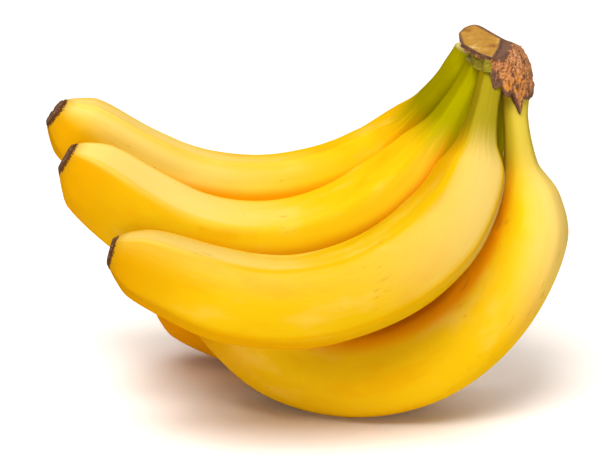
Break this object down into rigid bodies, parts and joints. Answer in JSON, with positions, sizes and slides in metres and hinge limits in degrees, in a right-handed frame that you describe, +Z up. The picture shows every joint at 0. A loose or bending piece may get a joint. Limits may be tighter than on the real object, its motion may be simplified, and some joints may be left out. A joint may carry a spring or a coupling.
{
  "type": "hand of bananas",
  "caption": "Curved ridged yellow fruits with green stalks and dark blunt flower ends, fanned out from one cut woody crown and lying on their bellies.",
  "frame": {"origin": "middle of the bottom of the bounding box, on the surface that the hand lies on", "axes": "+X from the flower ends towards the crown, +Y from the front fruits to the back ones, +Z up as the hand lies on its two lowest bellies"},
  "size_m": [0.2142, 0.1278, 0.1561],
  "materials": {
    "peel": "waxy satin",
    "dried_crown": "dry and fibrous",
    "dried_flower": "dry and crumbly"
  },
  "bodies": {
    "root": {"crown": "dried_crown", "banana_1": "peel", "banana_2": "peel", "banana_3": "peel", "banana_4": "peel", "banana_5": "peel", "flower_end_1": "dried_flower", "flower_end_2": "dried_flower", "flower_end_3": "dried_flower", "flower_end_4": "dried_flower", "flower_end_5": "dried_flower"}
  },
  "joints": []
}
